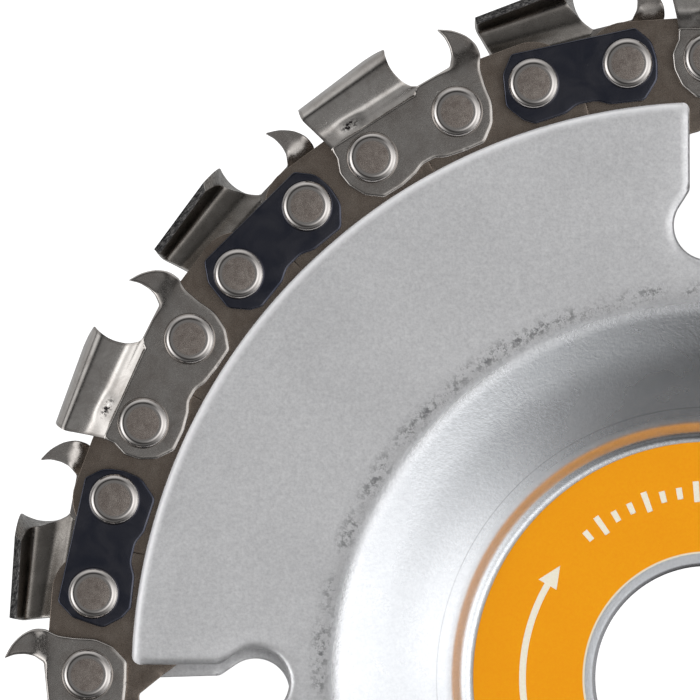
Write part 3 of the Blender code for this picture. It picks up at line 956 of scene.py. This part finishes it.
def drive_mesh():
    """A drive link: flat top, an end turned about each rivet, and a hooked tang."""
    half = RIVET_CIRCLE * math.sin(math.radians(drive_angle() / 2))
    corners = [(-1.6, -6.5, 0.6), (0.4, -6.6, 0.9), (1.2, -5.3, 0.6), (2.0, -5.15, 0.7), (3.6, -3.75, 0.4)]
    for side, angles in ((1, range(-40, 91, 9)), (-1, range(90, 221, 9))):
        ears = [(side * shoulder(height), height, 0.06) for height in (SHOULDER_LOW, SHOULDER_HIGH)]
        ring = [(side * half + x, y, 0) for x, y in (spot(DRIVE_END, angle) for angle in angles)]
        corners += ears + ring if side > 0 else ring + ears[::-1]
    corners += [(-4.1, -3.75, 0.4), (-2.6, -5.35, 1.0)]
    return link_sheet("drive_link", corners, half, -DRIVE_HALF, DRIVE_HALF, (FINE_ROLL, FINE_ROLL))


RIVET_TURN = 80.0
RIVET_DROP = 0.50
RIVET_FACE_DROP = 0.02
RIVET_CROWN = 0.6
RIVET_CROWN_DROP = 0.004
RIVET_STEPS = 10
RIVET_SINK = 0.02
RIVET_SHANK = 1.42
RIVET_SIDES = 48


def rivet_mesh():
    """A rivet with a spun head at each end: a nearly flat face, then a dome that turns steep."""
    base = LINK_OUTER - RIVET_SINK
    top = LINK_OUTER + RIVET_HEIGHT
    shoulder_top = top - RIVET_FACE_DROP
    upper = [(0, top), (RIVET_CROWN, top - RIVET_CROWN_DROP), (RIVET_FACE, shoulder_top)]
    steep = math.radians(RIVET_TURN)
    for angle in np.linspace(0, steep, RIVET_STEPS + 1)[1:]:
        swing = math.sin(angle) / math.sin(steep)
        fall = (1 - math.cos(angle)) / (1 - math.cos(steep))
        upper.append((RIVET_FACE + (RIVET_HEAD - RIVET_FACE) * swing, shoulder_top - RIVET_DROP * fall))
    upper += [(RIVET_HEAD, base), (RIVET_SHANK, base)]
    profile = upper + [(radius, -height) for radius, height in reversed(upper)]
    return turned("rivet", profile, RIVET_SIDES)


def side_angle():
    """The angle at the disc's axis between a side link's rivets."""
    return math.degrees(2 * math.asin(SIDE_PITCH / 2 / RIVET_CIRCLE))


def drive_angle():
    """The angle at the disc's axis between a drive link's rivets."""
    return STEP_ANGLE - side_angle()


def link_matrix(angle, spread):
    """The place of a link whose middle is at an angle round the disc."""
    reach = RIVET_CIRCLE * math.cos(math.radians(spread / 2))
    centre = Vector((*spot(reach, angle), CHAIN_Z)) * MM
    return Matrix.Translation(centre) @ Matrix.Rotation(math.radians(angle - 90.0), 4, "Z")


def make_chain():
    """The whole ring of chain, one object for each of its pieces."""
    steel = chain_steel("cutter_steel", (0.385, 0.35, 0.325), (0.53, 0.505, 0.48), 0.22, stamped=True)
    drive = chain_steel("drive_link_steel", (0.255, 0.205, 0.17), (0.36, 0.305, 0.26), 0.26, worn=0.15)
    # Painted shade: a darker, rougher copy of the cutter steel for the tooth's inner face, which lies in
    # shadow.
    scaled = chain_steel("scaled_steel", (0.18, 0.165, 0.15), (0.28, 0.26, 0.24), 0.30)
    finishes = [steel, filed_steel(), sheared_steel(), scaled]
    blued, rivet_finish = blued_steel(), rivet_steel()
    cutter = {"right": cutter_mesh()}
    for index, finish in enumerate(finishes):
        cutter["right"].materials[index] = finish
    cutter["left"] = flipped(cutter["right"], "left_cutter")
    strap = {"left": link_sheet("tie_strap", STRAP_CORNERS, SIDE_PITCH / 2, SIDE_LINK_INSIDE, LINK_OUTER,
                                (STRAP_ROLL, FINE_ROLL))}
    strap["right"] = flipped(strap["left"], "back_tie_strap")
    rivet, drive_link = rivet_mesh(), drive_mesh()
    for index in range(LINKS):
        number = f"{index + 1:02d}"
        angle = FIRST_ANGLE + index * STEP_ANGLE
        hand = "right" if index % 2 else "left"
        opened = index < OPEN_LINKS
        whole = f"{hand}_cutter_link_{number}"
        matrix = link_matrix(angle, side_angle())
        put(f"cutter_{number}", cutter[hand], finishes, CHAIN,
            [f"{hand}_cutter_{number}" if opened else whole], matrix)
        put(f"strap_{number}", strap[hand], [blued], CHAIN,
            [f"tie_strap_{number}" if opened else whole], matrix)
        for end, offset in (("trailing", -SIDE_PITCH / 2), ("leading", SIDE_PITCH / 2)):
            put(f"rivet_{number}_{end}", rivet, [rivet_finish], CHAIN,
                [f"{end}_rivet_{number}" if opened else whole],
                matrix @ Matrix.Translation((offset * MM, 0, 0)))
        put(f"drive_{number}", drive_link, [drive], CHAIN, [f"drive_link_{number}"],
            link_matrix(angle + STEP_ANGLE / 2, drive_angle()))


# ---------------------------------------------------------------- stage

VIEW_CENTRE = (-25.7, 23.6)
VIEW_WIDTH = 49.93
CAMERA_HEIGHT = 620.0
SENSOR_WIDTH = 36.0
FLOOR_REACH = 4000.0
FLOOR_GAP = 0.4
FLOOR_GLOW = 0.2


def make_floor():
    """A plain pale floor just under the hub."""
    made = Shader("floor")
    made.surface.inputs["Emission Color"].default_value = (1, 1, 1, 1)
    seen = made.add("LightPath").outputs["Is Camera Ray"]
    glow = made.ramp(seen, 0.0, 1.0, FLOOR_GLOW, 1.0)
    made.tree.links.new(glow, made.surface.inputs["Emission Strength"])
    made.finish((0.3, 0.3, 0.3, 1.0), 0.8, metallic=0.0)
    mesh = bpy.data.meshes.new("floor")
    reach = FLOOR_REACH * MM
    corners = [(-reach, -reach, 0), (reach, -reach, 0), (reach, reach, 0), (-reach, reach, 0)]
    mesh.from_pydata(corners, [], [(0, 1, 2, 3)])
    mesh.materials.append(made.material)
    floor = bpy.data.objects.new("floor", mesh)
    floor.location.z = -FLOOR_GAP * MM
    bpy.context.scene.collection.objects.link(floor)


# Each cloth of the tent: the way it faces in degrees, how sharply it fades round the horizon, the
# heights (sine of the elevation) where it starts, is full, begins to end and ends, its strength.
CLOTHS = [
    (-12.0, 6.0, (0.00, 0.12, 0.45, 0.65), 1.5),
    (-3.0, 3.0, (0.45, 0.66, 0.92, 0.97), 1.15),
    (-32.0, 3.0, (0.76, 0.86, 0.945, 0.985), 0.70),
    (-90.0, 5.0, (0.28, 0.42, 0.54, 0.66), 0.13),
    (195.0, 6.0, (0.15, 0.40, 0.60, 0.78), 2.2),
    (95.0, 2.0, (-0.10, 0.00, 0.45, 0.75), 0.75),
]
AMBIENT = 0.05
OVERHEAD = 0.232
OVERHEAD_START = 0.86
OVERHEAD_FULL = 0.94
BACKDROP = 0.95


def make_world():
    """A light tent, bright to the right and left and dim above, behind a white backdrop."""
    world = bpy.data.worlds.new("tent")
    bpy.context.scene.world = world
    world.use_nodes = True
    made = Nodes(world.node_tree)
    where = made.add("TexCoord").outputs["Generated"]
    height = made.add("SeparateXYZ", {0: where}).outputs["Z"]
    flat = made.scaled(where, (1.0, 1.0, 0.0))
    level = made.add("VectorMath", {0: flat}, operation="NORMALIZE").outputs[0]
    light = made.ramp(height, OVERHEAD_START, OVERHEAD_FULL, AMBIENT, OVERHEAD)
    for way, focus, (start, full, fade, end), strength in CLOTHS:
        facing = (*spot(1.0, way), 0.0)
        across = made.add("VectorMath", {0: level, 1: facing}, operation="DOT_PRODUCT").outputs["Value"]
        glow = made.math("POWER", made.math("MAXIMUM", across, 0.0), focus)
        rise = made.product(made.ramp(height, start, full), made.ramp(height, fade, end, 1.0, 0.0))
        light = made.total(light, made.product(glow, rise, strength))
    seen = made.add("LightPath").outputs["Is Camera Ray"]
    backdrop = made.total(made.product(seen, made.math("SUBTRACT", BACKDROP, light)), light)
    background = made.tree.nodes["Background"]
    made.tree.links.new(backdrop, background.inputs["Color"])
    background.inputs["Strength"].default_value = 1.0
    bpy.context.scene.view_settings.view_transform = "Standard"


FILL = 1.2
FILL_SPREAD = 60.0
FILL_TILT = (-20.0, -25.0, 0.0)


def make_fill():
    """A soft fill light that brightens printed and dull surfaces and leaves no highlight."""
    data = bpy.data.lights.new("fill", "SUN")
    data.energy = FILL
    data.angle = math.radians(FILL_SPREAD)
    fill = bpy.data.objects.new("fill", data)
    fill.rotation_euler = [math.radians(tilt) for tilt in FILL_TILT]
    fill.visible_glossy = False
    bpy.context.scene.collection.objects.link(fill)


def make_camera():
    """A long lens straight above the disc's upper left quarter."""
    data = bpy.data.cameras.new("camera")
    data.sensor_width = SENSOR_WIDTH
    data.lens = SENSOR_WIDTH * (CAMERA_HEIGHT - RIM_TOP) / VIEW_WIDTH
    data.clip_start, data.clip_end = 0.01, 20.0
    camera = bpy.data.objects.new("camera", data)
    camera.location = Vector((*VIEW_CENTRE, CAMERA_HEIGHT)) * MM
    bpy.context.scene.collection.objects.link(camera)
    bpy.context.scene.camera = camera


make_plates(zinc_plate())
make_label()
make_chain()
make_floor()
make_world()
make_fill()
make_camera()
